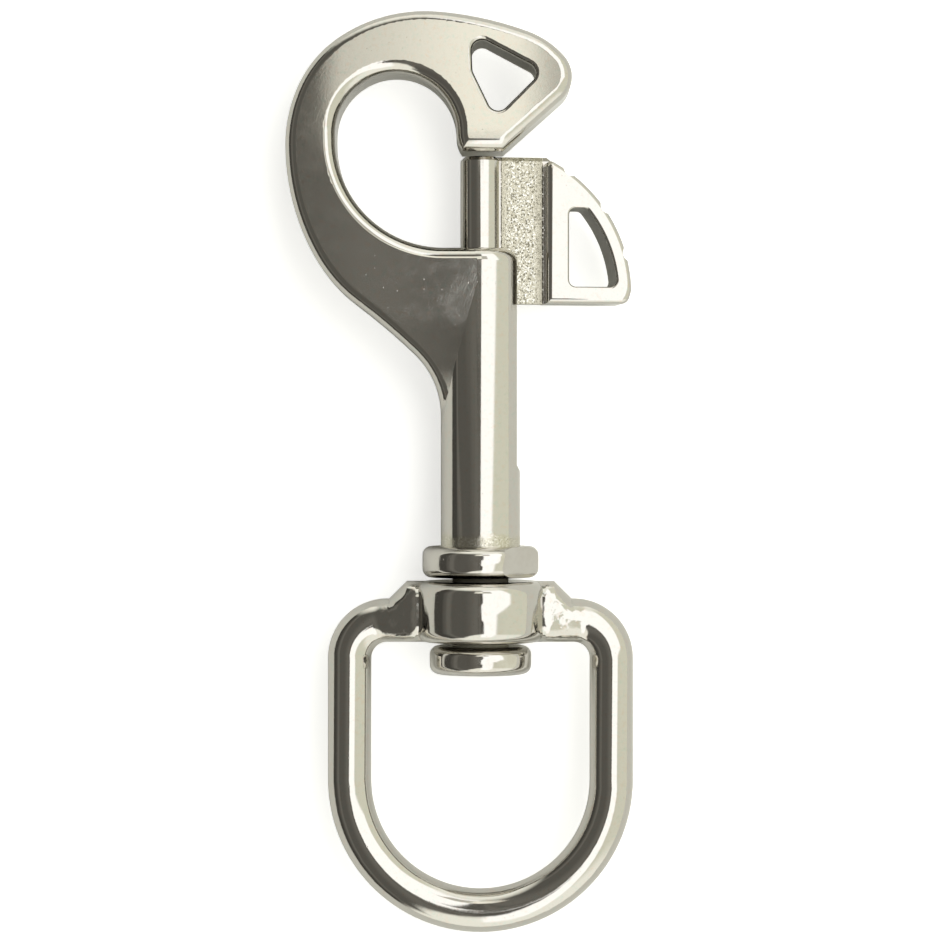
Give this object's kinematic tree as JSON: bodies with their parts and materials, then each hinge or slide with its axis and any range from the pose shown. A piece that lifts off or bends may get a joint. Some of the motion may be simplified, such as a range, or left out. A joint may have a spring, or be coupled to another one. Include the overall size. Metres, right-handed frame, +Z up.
{
  "type": "bolt snap with swivel eye",
  "caption": "Cast stainless steel bolt snap: a flat-faced hook closed by a spring plunger with a pierced thumb pad, on a D-shaped swivel eye for webbing.",
  "frame": {"origin": "middle of the footprint, on the surface that the swivel hub lies on", "axes": "+Y along the barrel from the eye to the hook, +X from the barrel to the thumb pad, +Z up out of the flat faces"},
  "size_m": [0.0432, 0.1146, 0.0162],
  "materials": {
    "cast_steel": "polished",
    "plunger_steel": "polished",
    "spring_steel": "satin",
    "turned_steel": "polished",
    "eye_steel": "polished"
  },
  "bodies": {
    "hook": {"hook_body": "cast_steel", "swivel_pin": "turned_steel", "collar_nut": "turned_steel", "spring": "spring_steel"},
    "plunger": {"plunger": "plunger_steel"},
    "eye": {"swivel_eye": "eye_steel"}
  },
  "joints": [
    {"name": "plunger_slide", "type": "slide", "parent": "hook", "child": "plunger", "axis": [0, -1, 0], "range_m": [0, 0.0116], "stiffness_N_per_m": 700, "springref_m": -0.007, "deforming": ["spring"]},
    {"name": "eye_swivel", "type": "hinge", "parent": "hook", "child": "eye", "pos_m": [0.00257, -0.01728, 0.0081], "axis": [0, 1, 0], "continuous": true}
  ]
}
